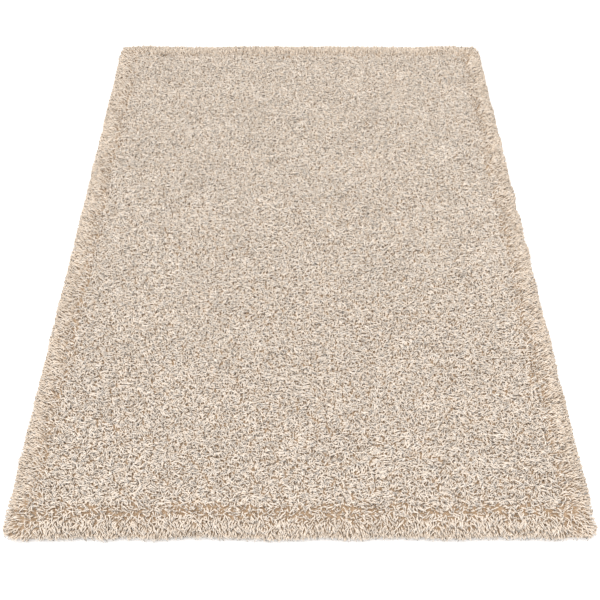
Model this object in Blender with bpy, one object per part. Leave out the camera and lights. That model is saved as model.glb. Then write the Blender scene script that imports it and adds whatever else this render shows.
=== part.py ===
"""Shag rug: one flat piece of deep cut pile on its own ground cloth.

The solid is the room that the rug fills. It is flat underneath, where the ground cloth lies on the
floor, and reaches up to the tips of the pile, whose top is lightly uneven: soft clumps, and shallow
partings that run across the rug. All round, the pile leans out over the edge of the ground cloth and
rolls down to the floor, along a wandering outline with rounded corners.

Metres, +Z up. The origin is at the middle of the underside, the length runs along Y.
"""

import math

import bmesh
import bpy
from mathutils import Vector, noise

OBJECT_NAME = "shag_rug"

# Outline, from pile tip to pile tip.
WIDTH = 1.20
LENGTH = 1.70
CORNER_RADIUS = 0.026
OUTLINE_WANDER = 0.006
OUTLINE_WAVE = 0.055

# Pile, measured up from the floor.
PILE_HEIGHT = 0.0335
CLUMP_RISE = 0.0042
CLUMP_SIZE = 0.085
PARTING_DEPTH = 0.0016
PARTING_SPACING = 0.105
PARTING_WANDER = 0.030

# The edge, where the pile leans out and rolls down to the floor.
ROLL_WIDTH = 0.030
WIDEST_HEIGHT = 0.005
UNDERCUT = 0.005
ROLL_STEPS = 4

# Spacing of the surface's own points: even inside, closer together beside the roll.
INNER_STEP = 0.0262
EDGE_BANDS = (0.0, 0.008, 0.024)

YARN_COLOUR = (0.731, 0.624, 0.515, 1.0)
YARN_ROUGHNESS = 0.95


def clear_scene():
    """Removes every object, so that the file holds the rug alone."""
    for item in list(bpy.data.objects):
        bpy.data.objects.remove(item, do_unlink=True)


def yarn_material():
    """Natural cream yarn, matt."""
    material = bpy.data.materials.new("cream_yarn")
    material.use_nodes = True
    shader = material.node_tree.nodes["Principled BSDF"]
    shader.inputs["Base Color"].default_value = YARN_COLOUR
    shader.inputs["Roughness"].default_value = YARN_ROUGHNESS
    shader.inputs["Metallic"].default_value = 0.0
    return material


def line_places(side):
    """Where the top's lines cross one side of the rug, from its low end to its high end."""
    flat = side / 2 - ROLL_WIDTH
    *beside_roll, innermost = [flat - band for band in EDGE_BANDS]
    cells = round(2 * innermost / INNER_STEP)
    inner = [innermost * (2 * i / cells - 1) for i in range(cells + 1)]
    return [-place for place in beside_roll] + inner + beside_roll[::-1]


def round_corner(x, y):
    """Pulls a point of the square outline in to the rounded one, along a line from the arc's centre."""
    past_x = abs(x) - (WIDTH / 2 - CORNER_RADIUS)
    past_y = abs(y) - (LENGTH / 2 - CORNER_RADIUS)
    if past_x <= 0 or past_y <= 0:
        return x, y
    pull = max(past_x, past_y) / math.hypot(past_x, past_y)
    return (
        math.copysign(WIDTH / 2 - CORNER_RADIUS + past_x * pull, x),
        math.copysign(LENGTH / 2 - CORNER_RADIUS + past_y * pull, y),
    )


def outward(x, y):
    """Unit direction from the rug out over its edge: square to a side, and fanning out at a corner."""
    past_x = max(abs(x) - (WIDTH / 2 - 2 * ROLL_WIDTH), 0.0)
    past_y = max(abs(y) - (LENGTH / 2 - 2 * ROLL_WIDTH), 0.0)
    reach = math.hypot(past_x**2, past_y**2)
    if reach == 0.0:
        return 0.0, 0.0
    return math.copysign(past_x**2 / reach, x), math.copysign(past_y**2 / reach, y)


def wander(x, y):
    """How far the outline strays outwards here, because tufts lean out unevenly."""
    return OUTLINE_WANDER * noise.noise(Vector((x, y, 0.0)) / OUTLINE_WAVE)


def top_height(x, y):
    """Height of the pile's tips: clumps of yarn, with shallow partings across the rug between them."""
    place = Vector((x, y, 0.0))
    clumps = CLUMP_RISE * noise.fractal(place / CLUMP_SIZE, 1.0, 2.0, 2)
    bend = PARTING_WANDER * noise.noise(place / (2 * PARTING_SPACING) + Vector((7.0, 3.0, 1.0)))
    parting = math.cos(math.pi * (y + bend) / PARTING_SPACING) ** 8
    return PILE_HEIGHT + clumps - PARTING_DEPTH * parting


def pile_top():
    """The top of the pile, inside the roll, as a sheet of quads on the lines of line_places."""
    across, along = line_places(WIDTH), line_places(LENGTH)
    sheet = bmesh.new()
    bmesh.ops.create_grid(sheet, x_segments=len(across) - 1, y_segments=len(along) - 1, size=1.0)
    for vert in sheet.verts:
        x = across[round((vert.co.x + 1) / 2 * (len(across) - 1))]
        y = along[round((vert.co.y + 1) / 2 * (len(along) - 1))]
        vert.co = (x, y, top_height(x, y))
    return sheet


def rim_point(corner, inset, height):
    """A point of the edge below one point of the top's rim, this far in from the square outline."""
    x = corner.x * (WIDTH / 2 - inset) / (WIDTH / 2 - ROLL_WIDTH)
    y = corner.y * (LENGTH / 2 - inset) / (LENGTH / 2 - ROLL_WIDTH)
    x, y = round_corner(x, y)
    lean_x, lean_y = outward(x, y)
    stray = wander(x, y) * (1 - inset / ROLL_WIDTH)
    return Vector((x + lean_x * stray, y + lean_y * stray, height))


def extrude_rim(sheet, rim, points):
    """Extrudes the open rim to new points, and returns the new rim with its own points of the top."""
    edges = [edge for edge in sheet.edges if edge.is_boundary]
    before = set(sheet.verts)
    bmesh.ops.extrude_edge_only(sheet, edges=edges)
    lower = {}
    for vert in set(sheet.verts) - before:
        upper = next(edge.other_vert(vert) for edge in vert.link_edges if edge.other_vert(vert) in rim)
        lower[vert] = rim[upper]
        vert.co = points[upper]
    return lower


def roll_down(sheet):
    """Carries the pile over the edge, out and down in a quarter of an ellipse, and in under itself."""
    rim = {vert: vert.co.copy() for vert in sheet.verts if vert.is_boundary}
    rows = []
    for step in range(1, ROLL_STEPS + 1):
        turn = math.pi / 2 * step / ROLL_STEPS
        rows.append((ROLL_WIDTH * (1 - math.sin(turn)), math.cos(turn)))
    for inset, rise in rows:
        points = {
            vert: rim_point(top, inset, WIDEST_HEIGHT + rise * (top.z - WIDEST_HEIGHT))
            for vert, top in rim.items()
        }
        rim = extrude_rim(sheet, rim, points)
    rim_below = {vert: rim_point(top, UNDERCUT, 0.0) for vert, top in rim.items()}
    extrude_rim(sheet, rim, rim_below)


def close_underside(sheet):
    """Fills the flat underside, where the ground cloth lies on the floor."""
    edges = [edge for edge in sheet.edges if edge.is_boundary]
    bmesh.ops.contextual_create(sheet, geom=edges)
    underside = [face for face in sheet.faces if len(face.verts) > 4]
    bmesh.ops.triangulate(sheet, faces=underside)
    bmesh.ops.recalc_face_normals(sheet, faces=sheet.faces)


def build_rug(collection):
    """The rug's solid, shaded smooth but for the turn from the edge to the underside."""
    sheet = pile_top()
    roll_down(sheet)
    close_underside(sheet)
    mesh = bpy.data.meshes.new("rug")
    sheet.to_mesh(mesh)
    sheet.free()
    mesh.materials.append(yarn_material())
    mesh.shade_smooth()
    mesh.set_sharp_from_angle(angle=math.radians(50))
    rug = bpy.data.objects.new("rug", mesh)
    collection.objects.link(rug)
    return rug


def main():
    """Builds the rug in a collection of its own."""
    clear_scene()
    collection = bpy.data.collections.new(OBJECT_NAME)
    bpy.context.scene.collection.children.link(collection)
    build_rug(collection)


main()
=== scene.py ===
"""Shag rug: deep cut pile, yarn end by yarn end, on its ground cloth, laid out on a pale studio floor.

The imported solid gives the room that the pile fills. Every yarn end is planted on the ground cloth,
leans with its clump, curls over at the top and ends on that solid's surface. Round the edge the pile
fans out over the ground cloth and hangs down to the floor.

Metres, +Z up. The rug's length runs along Y.
"""

import logging
import math
from dataclasses import dataclass, field
from enum import Enum
from typing import Any, Callable

import bpy
import numpy as np
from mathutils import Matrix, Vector
from mathutils.bvhtree import BVHTree


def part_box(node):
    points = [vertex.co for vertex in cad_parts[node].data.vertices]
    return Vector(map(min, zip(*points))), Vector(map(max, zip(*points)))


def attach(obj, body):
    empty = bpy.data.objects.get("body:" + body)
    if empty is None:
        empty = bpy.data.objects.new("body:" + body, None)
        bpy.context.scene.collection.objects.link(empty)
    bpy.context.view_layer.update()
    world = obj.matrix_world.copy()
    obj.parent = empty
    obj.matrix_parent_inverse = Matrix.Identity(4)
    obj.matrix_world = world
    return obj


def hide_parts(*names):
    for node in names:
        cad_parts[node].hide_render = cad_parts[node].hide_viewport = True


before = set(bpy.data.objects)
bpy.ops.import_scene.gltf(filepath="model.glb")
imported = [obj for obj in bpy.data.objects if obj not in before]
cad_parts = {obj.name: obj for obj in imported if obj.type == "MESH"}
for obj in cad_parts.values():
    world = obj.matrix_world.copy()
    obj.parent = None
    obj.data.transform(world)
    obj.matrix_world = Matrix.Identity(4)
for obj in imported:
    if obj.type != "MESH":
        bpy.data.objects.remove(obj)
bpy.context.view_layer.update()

LOG = logging.getLogger("shag_rug")
NODE = "rug"
BODY = "root"

# The yarn's own map, and how many strips of tone lie side by side on it.
YARN_MAP = "OFBake"
TONES = 48

# What all the fibres share: the spread of their sheen, and how little they shine.
SHEEN_ROUGHNESS = 0.6
SPECULAR_LEVEL = 0.2


class Slot(Enum):
    """The record's material slots."""

    YARN = "pile_yarn"
    CLOTH = "ground_cloth"


# --------------------------------------------------------------------------- shader maths


class Value:
    """One output of a shader node, with Python's operators as Math nodes."""

    def __init__(self, board: "Board", socket: bpy.types.NodeSocket) -> None:
        """Wraps a socket.

        Args:
            board: The board whose material the socket belongs to.
            socket: The output socket.
        """
        self.board = board
        self.socket = socket

    def maths(self, operation: str, *others: "float | Value", first: bool = True) -> "Value":
        """Adds a Math node.

        Args:
            operation: The Math node's operation.
            others: The other operands.
            first: Whether this value is the first operand, or the last.

        Returns:
            The result.
        """
        operands = (self, *others) if first else (*others, self)
        return self.board.node("ShaderNodeMath", {"operation": operation}, dict(enumerate(operands)))

    def __add__(self, other: "float | Value") -> "Value":
        """self + other."""
        return self.maths("ADD", other)

    def __sub__(self, other: "float | Value") -> "Value":
        """self - other."""
        return self.maths("SUBTRACT", other)

    def __mul__(self, other: "float | Value") -> "Value":
        """self * other."""
        return self.maths("MULTIPLY", other)

    def __truediv__(self, other: "float | Value") -> "Value":
        """self / other."""
        return self.maths("DIVIDE", other)

    def __pow__(self, other: "float | Value") -> "Value":
        """self ** other."""
        return self.maths("POWER", other)

    def __rsub__(self, other: float) -> "Value":
        """other - self."""
        return self.maths("SUBTRACT", other, first=False)

    __radd__ = __add__
    __rmul__ = __mul__


class Board:
    """A new material's nodes, with a Principled shader."""

    def __init__(self, name: str) -> None:
        """Makes the material.

        Args:
            name: The material's name.
        """
        self.material = bpy.data.materials.new(name)
        self.material.use_nodes = True
        self.nodes = self.material.node_tree.nodes
        self.links = self.material.node_tree.links
        self.shader = self.nodes["Principled BSDF"]

    def plug(self, node: bpy.types.Node, name: str | int, value: Any) -> None:
        """Sets or links one input.

        Args:
            node: The node.
            name: The input's name or place.
            value: A number, a tuple or a Value to link.
        """
        if isinstance(value, Value):
            self.links.new(value.socket, node.inputs[name])
        else:
            node.inputs[name].default_value = value

    def node(self, kind: str, settings: dict[str, Any], inputs: dict, output: str | int = 0) -> Value:
        """Adds any node.

        Args:
            kind: The node's type.
            settings: Its own settings, and "stops" for a ramp's places and colours.
            inputs: Values or links for its sockets, by name or place.
            output: The output to return.

        Returns:
            That output.
        """
        made = self.nodes.new(kind)
        for name, value in settings.items():
            if name == "stops":
                self.set_stops(made.color_ramp, value)
            else:
                setattr(made, name, value)
        for name, value in inputs.items():
            self.plug(made, name, value)
        return Value(self, made.outputs[output])

    @staticmethod
    def set_stops(ramp: bpy.types.ColorRamp, stops: list[tuple[float, tuple]]) -> None:
        """Gives a ramp its stops.

        Args:
            ramp: The colour ramp.
            stops: Each stop's place and colour, in order.
        """
        while len(ramp.elements) < len(stops):
            ramp.elements.new(1.0)
        for element, (place, colour) in zip(ramp.elements, stops, strict=True):
            element.position = place
            element.color = (*colour, 1.0)

    def mix(self, factor: "float | Value", low: Any, high: Any, blend: str = "MIX") -> Value:
        """Mixes two colours.

        Args:
            factor: How much of the second one.
            low: The first colour.
            high: The second colour.
            blend: The way of mixing.

        Returns:
            The colour.
        """
        return self.node(
            "ShaderNodeMix",
            {"data_type": "RGBA", "blend_type": blend},
            {"Factor": factor, 6: low, 7: high},
            2,
        )

    def finish(self, colour: Any, roughness: float, sheen: float, normal: Value | None) -> bpy.types.Material:
        """Feeds the shader.

        Args:
            colour: The base colour.
            roughness: The roughness, the same all over.
            sheen: The weight of the fibres' sheen.
            normal: The bumped normal, if there is one.

        Returns:
            The material.
        """
        self.plug(self.shader, "Base Color", colour)
        self.plug(self.shader, "Roughness", roughness)
        self.plug(self.shader, "Sheen Weight", sheen)
        self.plug(self.shader, "Sheen Roughness", SHEEN_ROUGHNESS)
        self.plug(self.shader, "Specular IOR Level", SPECULAR_LEVEL)
        if normal is not None:
            self.plug(self.shader, "Normal", normal)
        return self.material


# --------------------------------------------------------------------------- finishes

Colour = tuple[float, float, float]


@dataclass(frozen=True)
class YarnFinish:
    """Spun cream yarn, pale at the tip, with painted shade that darkens it down towards the root.

    Its pattern lies on the yarn's own map. One upright strip of the map is one tone of yarn, from the
    darkest at the left to the palest at the right. Across a strip is round the yarn, and up it is
    from the root to the tip.
    """

    # Painted shade: every colour below the tip is the cream yarn darkened for the shade deeper down in the
    # pile.
    root: Colour = (0.50, 0.38, 0.27)
    shaded_shank: Colour = (0.74, 0.62, 0.50)
    crown: Colour = (0.88, 0.795, 0.705)
    tip: Colour = (0.91, 0.84, 0.765)
    darkest: float = 0.82
    palest: float = 1.10
    plies: float = 2.0
    turns: float = 7.0
    ply_shade: float = 0.16
    fibre_shade: float = 0.20
    least_shade: float = 0.80
    bump: float = 0.35
    roughness: float = 0.85
    sheen: float = 0.08

    def make(self) -> bpy.types.Material:
        """Makes the material of the pile's yarn."""
        board = Board("spun_yarn")
        place = board.node("ShaderNodeUVMap", {"uv_map": YARN_MAP}, {})
        parts = board.nodes.new("ShaderNodeSeparateXYZ")
        board.plug(parts, 0, place)
        across, up = Value(board, parts.outputs[0]), Value(board, parts.outputs[1])
        strips = across * TONES
        tone = strips.maths("FLOOR") / (TONES - 1)
        round_yarn = strips.maths("FRACT")
        ply = ((round_yarn * self.plies + up * self.turns) * math.tau).maths("SINE") * 0.5 + 0.5
        fibres = board.node(
            "ShaderNodeTexNoise",
            {"noise_dimensions": "3D"},
            {"Vector": place, "Scale": 260.0, "Detail": 3.0, "Roughness": 0.6},
        )
        length = board.node(
            # Painted shade along the yarn: darkest at the root, deep in the pile, and palest at the tip.
            "ShaderNodeValToRGB",
            {"stops": [(0.0, self.root), (0.45, self.shaded_shank), (0.78, self.crown), (1.0, self.tip)]},
            {0: up},
        )
        # Painted shade in the grooves between the plies, where the sine is low, plus fine random specks from
        # the fibre noise.
        groove_shade_and_fibres = ply * self.ply_shade + fibres * self.fibre_shade + self.least_shade
        shade = (tone * (self.palest - self.darkest) + self.darkest) * groove_shade_and_fibres
        grey = board.node("ShaderNodeCombineXYZ", {}, {0: shade, 1: shade, 2: shade})
        colour = board.mix(1.0, length, grey, "MULTIPLY")
        normal = board.node(
            "ShaderNodeBump", {}, {"Strength": self.bump, "Distance": 0.0006, "Height": ply + fibres * 0.5}
        )
        return board.finish(colour, self.roughness, self.sheen, normal)


@dataclass(frozen=True)
class PackedShadeFinish:
    """The lower part of the pile, where the yarn stands packed: its browns are painted shade, the shade deep
    in the pile.
    """

    # Painted shade: the cream yarn as dark as it looks in the shade down in the pile.
    deep: Colour = (0.42, 0.29, 0.18)
    pale: Colour = (0.66, 0.51, 0.37)
    scale: float = 230.0

    def make(self) -> bpy.types.Material:
        """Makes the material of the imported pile."""
        board = Board("packed_yarn")
        place = board.node("ShaderNodeTexCoord", {}, {}, "Object")
        stalks = board.node(
            "ShaderNodeTexVoronoi", {"feature": "F1"}, {"Vector": place, "Scale": self.scale}, "Distance"
        )
        patches = board.node("ShaderNodeTexNoise", {}, {"Vector": place, "Scale": 60.0, "Detail": 3.0})
        # Painted shade between the stalks: darker the farther from a stalk's centre.
        pale = 1 - stalks * 1.3
        colour = board.mix(pale * patches * 1.5, (*self.deep, 1.0), (*self.pale, 1.0))
        normal = board.node("ShaderNodeBump", {}, {"Strength": 0.8, "Distance": 0.003, "Height": pale})
        return board.finish(colour, 0.95, 0.1, normal)


@dataclass(frozen=True)
class ClothFinish:
    """The plain woven ground cloth, stiffened behind."""

    thread: Colour = (0.60, 0.50, 0.38)
    gap: Colour = (0.36, 0.29, 0.21)
    threads_per_metre: float = 420.0

    def make(self) -> bpy.types.Material:
        """Makes the material of the ground cloth."""
        board = Board("woven_ground")
        place = board.node("ShaderNodeTexCoord", {}, {}, "Object")
        parts = board.nodes.new("ShaderNodeSeparateXYZ")
        board.plug(parts, 0, place)
        pitch = math.pi * self.threads_per_metre
        warp = (Value(board, parts.outputs[0]) * pitch).maths("SINE")
        weft = (Value(board, parts.outputs[1]) * pitch).maths("SINE")
        over = (warp * weft * 0.5 + 0.5) ** 0.6
        slubs = board.node("ShaderNodeTexNoise", {}, {"Vector": place, "Scale": 90.0, "Detail": 4.0})
        colour = board.mix(over * 0.6 + slubs * 0.4, (*self.gap, 1.0), (*self.thread, 1.0))
        normal = board.node(
            "ShaderNodeBump", {}, {"Strength": 0.6, "Distance": 0.0008, "Height": over + slubs * 0.4}
        )
        return board.finish(colour, 0.9, 0.1, normal)


# --------------------------------------------------------------------------- the room the pile fills


@dataclass
class RugShape:
    """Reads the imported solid: its size, the height of its top and where its edge is."""

    fan_radius: float = 0.075
    widest_height: float = 0.005

    def __post_init__(self) -> None:
        """Keeps the solid's surface for looking up places on it."""
        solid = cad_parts[NODE]
        self.surface = BVHTree.FromPolygons(
            [vert.co.copy() for vert in solid.data.vertices],
            [tuple(face.vertices) for face in solid.data.polygons],
        )
        low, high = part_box(NODE)
        self.half = np.array([(high[0] - low[0]) / 2, (high[1] - low[1]) / 2])
        self.height = high[2]

    def nearest(self, places: np.ndarray) -> tuple[np.ndarray, np.ndarray]:
        """Finds the solid's surface.

        Args:
            places: The places to look from.

        Returns:
            The nearest place on the surface to each, and the way the surface faces there.
        """
        found = [self.surface.find_nearest(place)[:2] for place in places.tolist()]
        return np.array([place for place, _ in found]), np.array([facing for _, facing in found])

    def outward(self, places: np.ndarray) -> np.ndarray:
        """The direction of the nearest edge, fanning out round a corner.

        Args:
            places: X and Y of each place.

        Returns:
            A unit direction at each place.
        """
        past = np.maximum(np.abs(places) - (self.half - self.fan_radius), 1e-6)
        return np.sign(places) * past / np.linalg.norm(past, axis=1, keepdims=True)

    def insets(self, places: np.ndarray, outward: np.ndarray) -> np.ndarray:
        """How far each place is inside the rug's outline, along a direction.

        Args:
            places: X and Y of each place.
            outward: The direction at each place.

        Returns:
            The distances, or 0 for a place outside the outline.
        """
        found = np.zeros(len(places))
        near = (np.abs(places) > self.half - 2 * self.fan_radius).any(1)
        found[~near] = 2 * self.fan_radius
        for index in np.flatnonzero(near & (np.abs(places) < self.half).all(1)).tolist():
            start = Vector((*places[index].tolist(), self.widest_height))
            way = Vector((*outward[index].tolist(), 0.0))
            place, facing, _, distance = self.surface.ray_cast(start, way)
            if place is not None and facing.dot(way) > 0:
                found[index] = distance
        return found


class SoftField:
    """A smooth random field over the rug, between -1 and 1."""

    CELLS = 400

    def __init__(self, size: float, seed: int, stretch: float = 1.0) -> None:
        """Draws the field's values.

        Args:
            size: The distance between one value and the next along Y.
            seed: The seed of the draw.
            stretch: How many times that distance the values lie apart along X.
        """
        self.step = np.array([size * stretch, size])
        self.values = np.random.default_rng(seed).uniform(-1.0, 1.0, (self.CELLS, self.CELLS))

    def at(self, places: np.ndarray) -> np.ndarray:
        """Reads the field.

        Args:
            places: X and Y of each place.

        Returns:
            The value at each place.
        """
        where = places / self.step + self.CELLS / 2
        low = np.floor(where).astype(int)
        part = where - low
        part = part * part * (3.0 - 2.0 * part)
        x, y = low.T
        near = self.values[x, y] * (1 - part[:, 0]) + self.values[x + 1, y] * part[:, 0]
        far = self.values[x, y + 1] * (1 - part[:, 0]) + self.values[x + 1, y + 1] * part[:, 0]
        return near * (1 - part[:, 1]) + far * part[:, 1]


# --------------------------------------------------------------------------- modelling helpers


def deselect_all() -> None:
    """Leaves nothing selected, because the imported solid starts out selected."""
    bpy.ops.object.select_all(action="DESELECT")


def in_edit_mode(piece: bpy.types.Object) -> None:
    """Makes a piece the active one, and edits it with nothing selected.

    Args:
        piece: The piece.
    """
    deselect_all()
    piece.select_set(True)
    bpy.context.view_layer.objects.active = piece
    bpy.ops.object.mode_set(mode="EDIT")
    bpy.ops.mesh.select_all(action="DESELECT")


def fasten(piece: bpy.types.Object) -> None:
    """Puts a finished piece on the rug's body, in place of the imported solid.

    Args:
        piece: The piece.
    """
    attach(piece, BODY)
    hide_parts(NODE)
    LOG.info("%s: %d faces", piece.name, len(piece.data.polygons))


# --------------------------------------------------------------------------- the pile

FLOOR_CLEARANCE = 0.0004
TOUCHING = 1e-4

# The bare edges left round a strip of the map, across it and along it.
STRIP_MARGIN = 0.04
LENGTH_MARGIN = 0.01

# How far up a yarn end's side looks, and how its normals are made: mostly rounded, turned a little to
# the sky, and never back from the face.
SIDE_TILT = 0.31
ROUNDED = 0.9
SKYWARD = 0.35
LEAST_FACING = 0.1


@dataclass
class YarnEnd:
    """One yarn end, modelled upright and one unit long, ready to be bent and copied.

    It starts as a point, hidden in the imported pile. Its rings are the heights where it can bend, and
    each ring's swell is its width there. The cut end is pressed flat.
    """

    sides: int = 3
    rings: tuple[float, ...] = (0.5,)
    swells: tuple[float, ...] = (1.0,)
    cut_swell: float = 0.8

    def __post_init__(self) -> None:
        """Models the yarn end and keeps its points, faces and map."""
        model = self.model()
        mesh = model.data
        self.points = np.empty(len(mesh.vertices) * 3)
        mesh.vertices.foreach_get("co", self.points)
        self.points = self.points.reshape(-1, 3)
        self.faces = [list(face.vertices) for face in mesh.polygons]
        self.map = np.concatenate([self.face_map(face) for face in self.faces])
        self.triangles = sum(len(face) - 2 for face in self.faces)
        bpy.data.objects.remove(model)

    def model(self) -> bpy.types.Object:
        """Models the yarn end from a thin drum: cuts its rings and closes both of its ends."""
        deselect_all()
        bpy.ops.mesh.primitive_cylinder_add(
            vertices=self.sides, radius=1.0, depth=1.0, location=(0.0, 0.0, 0.5)
        )
        model = bpy.context.object
        bpy.ops.object.transform_apply(location=True, rotation=False, scale=False)
        in_edit_mode(model)
        for ring in self.rings:
            bpy.ops.mesh.select_all(action="SELECT")
            bpy.ops.mesh.bisect(plane_co=(0.0, 0.0, ring), plane_no=(0.0, 0.0, 1.0))
        self.merge(model, lambda place: place.z < TOUCHING)
        self.merge(model, lambda place: place.z > 1 - TOUCHING and place.y < 0)
        bpy.ops.object.mode_set(mode="OBJECT")
        swells = {0.0: 1.0, 1.0: self.cut_swell} | dict(zip(self.rings, self.swells, strict=True))
        for vert in model.data.vertices:
            swell = swells[min(swells, key=lambda height: abs(height - vert.co.z))]
            vert.co.x *= swell
            vert.co.y *= swell
        return model

    @staticmethod
    def merge(model: bpy.types.Object, wanted: Callable[[Vector], bool]) -> None:
        """Draws some points of a piece in edit mode together into one.

        Args:
            model: The piece.
            wanted: Tells from a point's place whether it is one of them.
        """
        bpy.ops.mesh.select_all(action="DESELECT")
        bpy.ops.object.mode_set(mode="OBJECT")
        for vert in model.data.vertices:
            vert.select = wanted(vert.co)
        bpy.ops.object.mode_set(mode="EDIT")
        bpy.ops.mesh.merge(type="CENTER")

    def face_map(self, face: list[int]) -> np.ndarray:
        """Lays one face out on the map: round the yarn across, and root to tip upwards.

        Args:
            face: The face's points.

        Returns:
            A place for each corner, as if the yarn had the whole width of the map.
        """
        corners = self.points[face]
        on_axis = np.hypot(corners[:, 0], corners[:, 1]) < 1e-6
        turn = np.arctan2(corners[:, 1], corners[:, 0]) / math.tau % 1.0
        rim = turn[~on_axis]
        if np.ptp(rim) > 0.5:
            turn = np.where(turn < 0.5, turn + 1.0, turn)
            rim = turn[~on_axis]
        turn[on_axis] = rim.mean()
        turn -= math.floor(rim.min() + 1e-6)
        return np.stack([turn, corners[:, 2]], 1)


@dataclass
class Strands:
    """A lot of yarn ends: where each is rooted, where it is pulled to, where it ends, and its looks."""

    root: np.ndarray
    crown: np.ndarray
    tip: np.ndarray
    width: np.ndarray
    tone: np.ndarray
    twist: np.ndarray

    @classmethod
    def through(cls, root: np.ndarray, bend: np.ndarray, tip: np.ndarray, *looks: np.ndarray) -> "Strands":
        """Makes strands whose curves pass through a place halfway.

        Args:
            root: Where each is rooted.
            bend: The place halfway.
            tip: Where each ends.
            looks: Their widths, tones and twists.

        Returns:
            The strands.
        """
        return cls(root, 2 * bend - (root + tip) / 2, tip, *looks)

    def part(self, chosen: np.ndarray) -> "Strands":
        """Some of these strands.

        Args:
            chosen: Which ones.

        Returns:
            Those.
        """
        return Strands(*(getattr(self, name)[chosen] for name in self.__dataclass_fields__))

    def __len__(self) -> int:
        """How many there are."""
        return len(self.root)

    def build(self, name: str, end: YarnEnd, finish: bpy.types.Material) -> bpy.types.Object:
        """Copies the yarn end along every strand's curve, as one piece.

        Args:
            name: The piece's name.
            end: The yarn end to copy.
            finish: The yarn's material.

        Returns:
            The piece.
        """
        places = self.bend(end.points)
        count, verts = places.shape[:2]
        faces = np.array([corner for face in end.faces for corner in face])
        starts = np.cumsum([0] + [len(face) for face in end.faces[:-1]])
        loops = (faces[None] + verts * np.arange(count)[:, None]).ravel()
        first = (starts[None] + len(faces) * np.arange(count)[:, None]).ravel()
        mesh = bpy.data.meshes.new(name)
        mesh.vertices.add(count * verts)
        mesh.loops.add(len(loops))
        mesh.polygons.add(len(first))
        mesh.vertices.foreach_set("co", places.astype(np.float32).ravel())
        mesh.loops.foreach_set("vertex_index", loops.astype(np.int32))
        mesh.polygons.foreach_set("loop_start", first.astype(np.int32))
        strip = np.clip(np.floor(self.tone * TONES), 0, TONES - 1)
        layer = mesh.uv_layers.new(name=YARN_MAP)
        laid = np.empty((count, len(faces), 2), np.float32)
        across, up = end.map[None, :, 0], end.map[None, :, 1]
        laid[..., 0] = (strip[:, None] + STRIP_MARGIN + (1 - 2 * STRIP_MARGIN) * across) / TONES
        laid[..., 1] = LENGTH_MARGIN + (1 - 2 * LENGTH_MARGIN) * up
        layer.uv.foreach_set("vector", laid.ravel())
        mesh.update(calc_edges=True)
        mesh.shade_smooth()
        self.soften(mesh, np.array([len(face) for face in end.faces]))
        mesh.materials.append(finish)
        piece = bpy.data.objects.new(name, mesh)
        bpy.context.scene.collection.objects.link(piece)
        return piece

    def soften(self, mesh: bpy.types.Mesh, corners: np.ndarray) -> None:
        """Rounds the shading of the yarn's few sides, and turns it a little to the sky.

        Args:
            mesh: The piece's mesh.
            corners: How many corners each face of one yarn end has.
        """
        rounded = np.empty(len(mesh.loops) * 3)
        mesh.corner_normals.foreach_get("vector", rounded)
        facing = np.empty(len(mesh.polygons) * 3)
        mesh.polygons.foreach_get("normal", facing)
        facing = np.repeat(facing.reshape(-1, 3), np.tile(corners, len(self)), 0)
        normals = rounded.reshape(-1, 3) * ROUNDED + facing * (1 - ROUNDED) + np.array([0.0, 0.0, SKYWARD])
        inward = np.minimum((normals * facing).sum(1) - LEAST_FACING, 0.0)
        normals -= facing * inward[:, None]
        normals /= np.linalg.norm(normals, axis=1, keepdims=True)
        mesh.normals_split_custom_set(normals)

    def bend(self, points: np.ndarray) -> np.ndarray:
        """Bends the upright yarn end along each strand's curve.

        Args:
            points: The yarn end's points.

        Returns:
            The points of every copy.
        """
        along = points[:, 2][None, :, None]
        back = 1 - along
        root, crown, tip = (ends[:, None, :] for ends in (self.root, self.crown, self.tip))
        centre = back**2 * root + 2 * along * back * crown + along**2 * tip
        run = 2 * back * (crown - root) + 2 * along * (tip - crown)
        run /= np.linalg.norm(run, axis=2, keepdims=True) + 1e-12
        facing = np.stack([np.cos(self.twist), np.sin(self.twist), SIDE_TILT * np.ones(len(self))], 1)
        side = np.cross(run, facing[:, None, :])
        side /= np.linalg.norm(side, axis=2, keepdims=True) + 1e-12
        other = np.cross(run, side)
        x, y = points[:, 0][None, :, None], points[:, 1][None, :, None]
        places = centre + self.width[:, None, None] * (x * side + y * other)
        places[..., 2] = np.maximum(places[..., 2], FLOOR_CLEARANCE)
        return places


@dataclass
class Clumps:
    """A loose grid of centres that the strands near them cling to."""

    size: float
    seed: int
    count: int = 1024
    scatter: float = 0.45

    def __post_init__(self) -> None:
        """Draws the centres and each clump's own number."""
        draw = np.random.default_rng(self.seed)
        self.shifts = draw.uniform(-self.scatter, self.scatter, (self.count, self.count, 2))
        self.moods = draw.uniform(0.0, 1.0, (self.count, self.count))

    def nearest(self, places: np.ndarray) -> tuple[np.ndarray, np.ndarray]:
        """Finds the clump nearest to each strand.

        Args:
            places: The strands' places.

        Returns:
            How far and which way each strand's clump centre lies, and a number from 0 to 1 that is the
            clump's own.
        """
        cell = np.round(places / self.size).astype(int)
        best = np.full(len(places), np.inf)
        pull = np.zeros_like(places)
        mood = np.zeros(len(places))
        for step in np.ndindex(3, 3):
            near = cell + np.array(step) - 1
            key = near + self.count // 2
            gap = (near + self.shifts[key[:, 0], key[:, 1]]) * self.size - places
            distance = np.linalg.norm(gap, axis=1)
            nearer = distance < best
            best = np.where(nearer, distance, best)
            pull[nearer] = gap[nearer]
            mood[nearer] = self.moods[key[:, 0], key[:, 1]][nearer]
        return pull, mood


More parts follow.
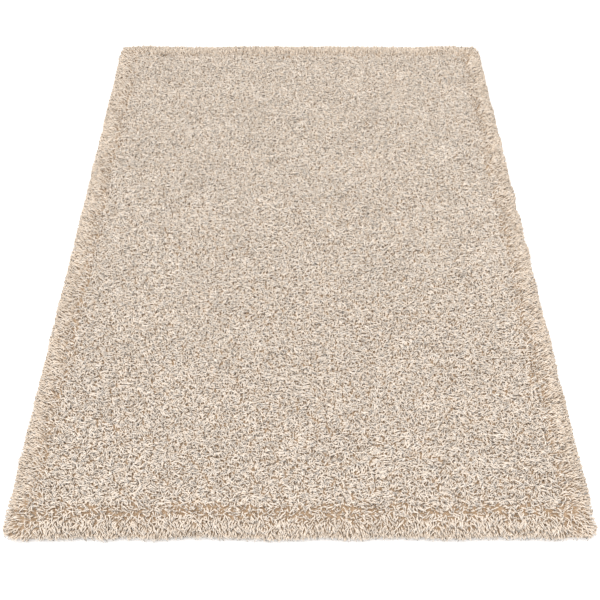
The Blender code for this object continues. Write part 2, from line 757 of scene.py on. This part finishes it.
@dataclass
class Pile:
    """All the yarn ends: the field's, and those that are pushed out over the edge all round.

    Distances are in metres. The edge's yarn ends are rooted between cloth_inset and edge_band inside
    the outline, and their tips follow the roll of the pile from the floor up to the field.
    """

    shape: RugShape
    cloth_inset: float = 0.022
    field_spacing: float = 0.0042
    edge_spacing: float = 0.0038
    edge_band: float = 0.072
    border_scatter: float = 0.006
    border_overlap: float = 0.002
    edge_crowding: float = 1.25
    edge_scatter: float = 0.025
    edge_lowest: float = -0.02
    edge_fan: float = 0.09
    edge_curl: float = 0.35
    outward_lean: float = 0.006
    downward_lean: float = 0.012
    root_height: float = 0.009
    lowest_crown: float = 0.004
    lowest_tip: float = 0.0015
    yarn_width: float = 0.0016
    clump_size: float = 0.010
    clump_pull: float = 0.22
    droop: float = 0.0025
    layer_depth: float = 0.0025
    lean_reach: float = 0.0035
    swirl_size: float = 0.13
    drift_size: float = 0.09
    lean_stretch: float = 1.6
    patch_size: float = 0.055
    patch_stretch: float = 1.5
    tone: float = 0.55
    tone_patches: float = 0.10
    tone_scatter: float = 0.18
    field_curl: float = 0.9
    curl_least: float = 0.006
    curl_most: float = 0.013
    curl_spread: float = 0.8
    crosswise: float = 1.15
    roll_width: float = 0.030
    roll_steps: int = 60
    field_pieces: int = 5
    seed: int = 11
    rng: np.random.Generator = field(init=False)

    def __post_init__(self) -> None:
        """Starts the pile's own draw of random numbers."""
        self.rng = np.random.default_rng(self.seed)
        self.clumps = Clumps(self.clump_size, self.seed + 1)

    def stitches(self, spacing: float) -> np.ndarray:
        """Places roots in rows across the rug, a little uneven.

        Args:
            spacing: The distance between rows, and between the stitches of a row.

        Returns:
            X and Y of each root.
        """
        across, along = (np.arange(-half, half, spacing) for half in self.shape.half)
        x, y = np.meshgrid(across, along)
        places = np.stack([x.ravel(), y.ravel()], 1)
        return places + self.rng.uniform(-0.5, 0.5, places.shape) * spacing

    def roll(self, part: np.ndarray) -> tuple[np.ndarray, np.ndarray]:
        """Follows the rug's edge from its widest part, up and over the roll of the pile and inwards.

        Args:
            part: How far along the surface each point is, from 0 at the widest part to 1 at the field.

        Returns:
            How far inside the outline each point is, and its height.
        """
        turn = np.linspace(0.0, math.pi / 2, self.roll_steps)
        inset = np.append(self.roll_width * (1 - np.cos(turn)), self.edge_band)
        rise = (self.shape.height - self.shape.widest_height) * np.append(np.sin(turn), 1.0)
        length = np.concatenate([[0.0], np.cumsum(np.hypot(np.diff(inset), np.diff(rise)))])
        arc = part * length[-1]
        height = self.shape.widest_height + np.interp(arc, length, rise) + np.minimum(arc, 0.0)
        return np.interp(arc, length, inset), height

    def grow(self, roots: np.ndarray, tips: np.ndarray, lean: np.ndarray) -> Strands:
        """Grows a strand from each root to its place on the pile's surface.

        Args:
            roots: X and Y of each root.
            tips: About where each ends.
            lean: The way it lies there, and how far from where it comes up.

        Returns:
            The strands.
        """
        draw = self.rng
        count = len(roots)
        tips, facing = self.shape.nearest(tips)
        facing[:, 2] = np.maximum(facing[:, 2], 0.0)
        # A surface that faces straight down leaves no length here. One edge strand does, and is empty.
        facing /= np.linalg.norm(facing, axis=1, keepdims=True)
        lean -= facing * (lean * facing).sum(1)[:, None]
        depth = np.abs(draw.normal(0.0, 1.0, (count, 1))) * self.layer_depth
        crown = tips - facing * depth - lean
        tips = tips - facing * (depth + self.droop * draw.uniform(0.0, 2.0, (count, 1)))
        crown[:, 2] = np.maximum(crown[:, 2], self.lowest_crown)
        tips[:, 2] = np.maximum(tips[:, 2], self.lowest_tip)
        patches = SoftField(self.patch_size, self.seed + 5, self.patch_stretch).at(roots)
        tone = self.tone + self.tone_patches * patches + draw.normal(0.0, self.tone_scatter, count)
        return Strands.through(
            np.column_stack([roots, np.full(count, self.root_height)]),
            crown,
            tips,
            self.yarn_width * draw.uniform(0.8, 1.2, count),
            np.clip(tone, 0.0, 0.999),
            draw.uniform(0, math.tau, count),
        )

    def curls(self, mood: np.ndarray) -> np.ndarray:
        """Which way each strand curls over, and how far: strands of a clump go much the same way.

        Args:
            mood: Each strand's clump's own number.

        Returns:
            The curl, along the ground.
        """
        count = len(mood)
        heading = math.tau * mood + self.rng.normal(0.0, self.curl_spread, count)
        curl = np.stack([np.cos(heading) * self.crosswise, np.sin(heading) / self.crosswise], 1)
        return curl * self.rng.uniform(self.curl_least, self.curl_most, (count, 1))

    def plant_field(self) -> Strands:
        """Plants the yarn ends that stand away from the edge."""
        roots = self.stitches(self.field_spacing)
        inset = self.shape.insets(roots, self.shape.outward(roots))
        border = self.rng.uniform(-self.border_scatter, self.border_scatter, len(roots))
        roots = roots[inset > self.edge_band + border]
        pull, mood = self.clumps.nearest(roots)
        swirl = SoftField(self.swirl_size, self.seed + 3, self.lean_stretch).at(roots)
        drift = SoftField(self.drift_size, self.seed + 4, self.lean_stretch).at(roots)
        curl = self.curls(mood) + np.stack([swirl, drift], 1) * self.lean_reach
        tips = roots + curl * self.field_curl + pull * self.clump_pull
        level = np.full(len(roots), self.shape.height)
        return self.grow(roots, np.column_stack([tips, level]), np.column_stack([curl, level * 0]))

    def plant_edge(self) -> Strands:
        """Plants the outer yarn ends, which lean out, roll over and hang down to the floor."""
        roots = self.stitches(self.edge_spacing)
        outward = self.shape.outward(roots)
        inset = self.shape.insets(roots, outward)
        kept = (inset > self.cloth_inset) & (inset < self.edge_band + self.border_overlap)
        roots, outward, inset = roots[kept], outward[kept], inset[kept]
        count = len(roots)
        foot = roots + outward * inset[:, None]
        sideways = np.stack([-outward[:, 1], outward[:, 0]], 1)
        part = (inset - self.cloth_inset) / (self.edge_band - self.cloth_inset)
        place = part**self.edge_crowding + self.rng.normal(0.0, self.edge_scatter, count)
        place = np.maximum(place, self.edge_lowest)
        tip_inset, height = self.roll(place)
        pull, mood = self.clumps.nearest(foot + outward * place[:, None] * self.edge_fan)
        curl = self.curls(mood)
        share = self.edge_curl + (1 - self.edge_curl) * part
        drift = curl * share[:, None] + pull * self.clump_pull
        tips = np.column_stack([foot - outward * tip_inset[:, None] + drift, height])
        hang = (1 - part)[:, None]
        leaned = drift + outward * self.outward_lean * np.minimum(hang * 2, 1)
        lean = np.column_stack([leaned, -self.downward_lean * hang])
        return self.grow(roots, tips, lean)

    def build(self, finish: bpy.types.Material) -> list[bpy.types.Object]:
        """Builds the field as bands that run across the rug, and the edge as its front and its back.

        Args:
            finish: The yarn's material.

        Returns:
            The pieces.
        """
        pieces = []
        end = YarnEnd()
        strands = self.plant_field()
        LOG.info("field: %d strands, %d triangles", len(strands), len(strands) * end.triangles)
        order = np.argsort(strands.root[:, 1], kind="stable")
        for number, chosen in enumerate(np.array_split(order, self.field_pieces), 1):
            pieces.append(strands.part(chosen).build(f"pile_field_{number}", end, finish))
        strands = self.plant_edge()
        LOG.info("edge: %d strands, %d triangles", len(strands), len(strands) * end.triangles)
        front = strands.root[:, 1] < 0
        for name, chosen in (("front", front), ("back", ~front)):
            pieces.append(strands.part(np.flatnonzero(chosen)).build(f"pile_edge_{name}", end, finish))
        for piece in pieces:
            fasten(piece)
        return pieces


# --------------------------------------------------------------------------- under the pile


@dataclass
class GroundCloth:
    """The woven cloth that holds the pile, flat on the floor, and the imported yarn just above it."""

    shape: RugShape
    inset: float = 0.020
    thickness: float = 0.0025
    corner: float = 0.012
    packed_depth: float = 0.0095
    packed_gap: float = 0.0002

    def cloth(self) -> bpy.types.Object:
        """Models the cloth: a thin box with all twelve of its edges bevelled.

        The bevel is wider than the cloth is thick, so the rim crosses itself and reaches below the
        floor. Only the four upright edges should be bevelled.
        """
        deselect_all()
        half = self.shape.half - self.inset
        bpy.ops.mesh.primitive_cube_add(size=2.0, location=(0.0, 0.0, self.thickness / 2))
        piece = bpy.context.object
        piece.name = piece.data.name = "ground_cloth"
        piece.scale = (half[0], half[1], self.thickness / 2)
        bpy.ops.object.transform_apply(location=True, rotation=True, scale=True)
        in_edit_mode(piece)
        bpy.ops.object.mode_set(mode="OBJECT")
        points = piece.data.vertices
        for edge in piece.data.edges:
            ends = [points[index].co.z for index in edge.vertices]
            edge.select = abs(ends[0] - ends[1]) > self.thickness / 2
        bpy.ops.object.mode_set(mode="EDIT")
        bpy.ops.mesh.select_mode(type="EDGE")
        bpy.ops.mesh.bevel(offset=self.corner, segments=4, affect="EDGES")
        bpy.ops.object.mode_set(mode="OBJECT")
        return piece

    def packed_yarn(self) -> bpy.types.Object:
        """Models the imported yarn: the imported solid, drawn in all over, and lifted onto the cloth."""
        deselect_all()
        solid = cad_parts[NODE]
        piece = bpy.data.objects.new("packed_pile", solid.data.copy())
        piece.data.materials.clear()
        bpy.context.scene.collection.objects.link(piece)
        in_edit_mode(piece)
        bpy.ops.mesh.select_all(action="SELECT")
        bpy.ops.mesh.remove_doubles(threshold=1e-6)
        bpy.ops.transform.shrink_fatten(value=-self.packed_depth)
        bpy.ops.object.mode_set(mode="OBJECT")
        for vert in piece.data.vertices:
            vert.co.z = max(vert.co.z, self.thickness + self.packed_gap)
        return piece

    def build(
        self, cloth: bpy.types.Material, packed: bpy.types.Material
    ) -> tuple[bpy.types.Object, bpy.types.Object]:
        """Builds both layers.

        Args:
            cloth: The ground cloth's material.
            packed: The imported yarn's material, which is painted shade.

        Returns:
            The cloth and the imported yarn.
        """
        ground = self.cloth()
        ground.data.materials.append(cloth)
        fasten(ground)
        yarn = self.packed_yarn()
        yarn.data.materials.append(packed)
        fasten(yarn)
        return ground, yarn


# --------------------------------------------------------------------------- the studio


@dataclass
class Studio:
    """A pale floor, plain soft light and the camera."""

    floor_size: float = 30.0
    focal_length: float = 46.35
    sensor: float = 36.0
    eye_height: float = 1.517
    eye_back: float = 0.583
    look_down: float = 51.37
    surround: float = 0.75
    lamp_strength: float = 2.6
    lamp_spread: float = 75.0
    lamp_side: tuple[float, float, float] = (-0.15, -0.25, 1.0)
    floor_glow: float = 0.1

    def floor(self) -> None:
        """Lays the floor, bright enough to show no edge of shade."""
        deselect_all()
        bpy.ops.mesh.primitive_plane_add(size=self.floor_size, location=(0.0, 0.0, -0.0005))
        floor = bpy.context.object
        floor.name = "floor"
        board = Board("pale_floor")
        board.plug(board.shader, "Base Color", (0.9, 0.9, 0.9, 1.0))
        board.plug(board.shader, "Roughness", 0.9)
        board.plug(board.shader, "Specular IOR Level", 0.0)
        board.plug(board.shader, "Emission Color", (1.0, 1.0, 1.0, 1.0))
        board.plug(board.shader, "Emission Strength", self.floor_glow)
        floor.data.materials.append(board.material)

    def lights(self) -> None:
        """Hangs one wide soft lamp overhead, a little to the left and front, in an even surround."""
        world = bpy.data.worlds.new("surround")
        bpy.context.scene.world = world
        world.use_nodes = True
        world.node_tree.nodes["Background"].inputs["Color"].default_value = (1.0, 1.0, 1.0, 1.0)
        world.node_tree.nodes["Background"].inputs["Strength"].default_value = self.surround
        deselect_all()
        bpy.ops.object.light_add(type="SUN", location=(-1.0, 1.0, 3.0))
        lamp = bpy.context.object
        lamp.data.energy = self.lamp_strength
        lamp.data.angle = math.radians(self.lamp_spread)
        lamp.rotation_euler = Vector(self.lamp_side).to_track_quat("Z", "Y").to_euler()

    def camera(self, shape: RugShape) -> None:
        """Sets up the camera, at standing height in front of the rug.

        Args:
            shape: The rug's shape, whose front edge places the camera.
        """
        deselect_all()
        bpy.ops.object.camera_add(
            location=(0.0, -float(shape.half[1]) - self.eye_back, self.eye_height),
            rotation=(math.radians(90.0 - self.look_down), 0.0, 0.0),
        )
        camera = bpy.context.object
        camera.data.lens = self.focal_length
        camera.data.sensor_width = self.sensor
        bpy.context.scene.camera = camera

    def build(self, shape: RugShape) -> None:
        """Sets up the whole studio.

        Args:
            shape: The rug's shape.
        """
        bpy.context.scene.view_settings.view_transform = "Standard"
        self.floor()
        self.lights()
        self.camera(shape)


def main() -> None:
    """Builds the studio and the rug, and reports each piece."""
    logging.basicConfig(level=logging.INFO, format="%(name)s %(message)s")
    shape = RugShape()
    Studio().build(shape)
    ground_cloth = GroundCloth(shape)
    ground, packed = ground_cloth.build(ClothFinish().make(), PackedShadeFinish().make())
    bands = Pile(shape).build(YarnFinish().make())


if __name__ == "__main__":
    main()
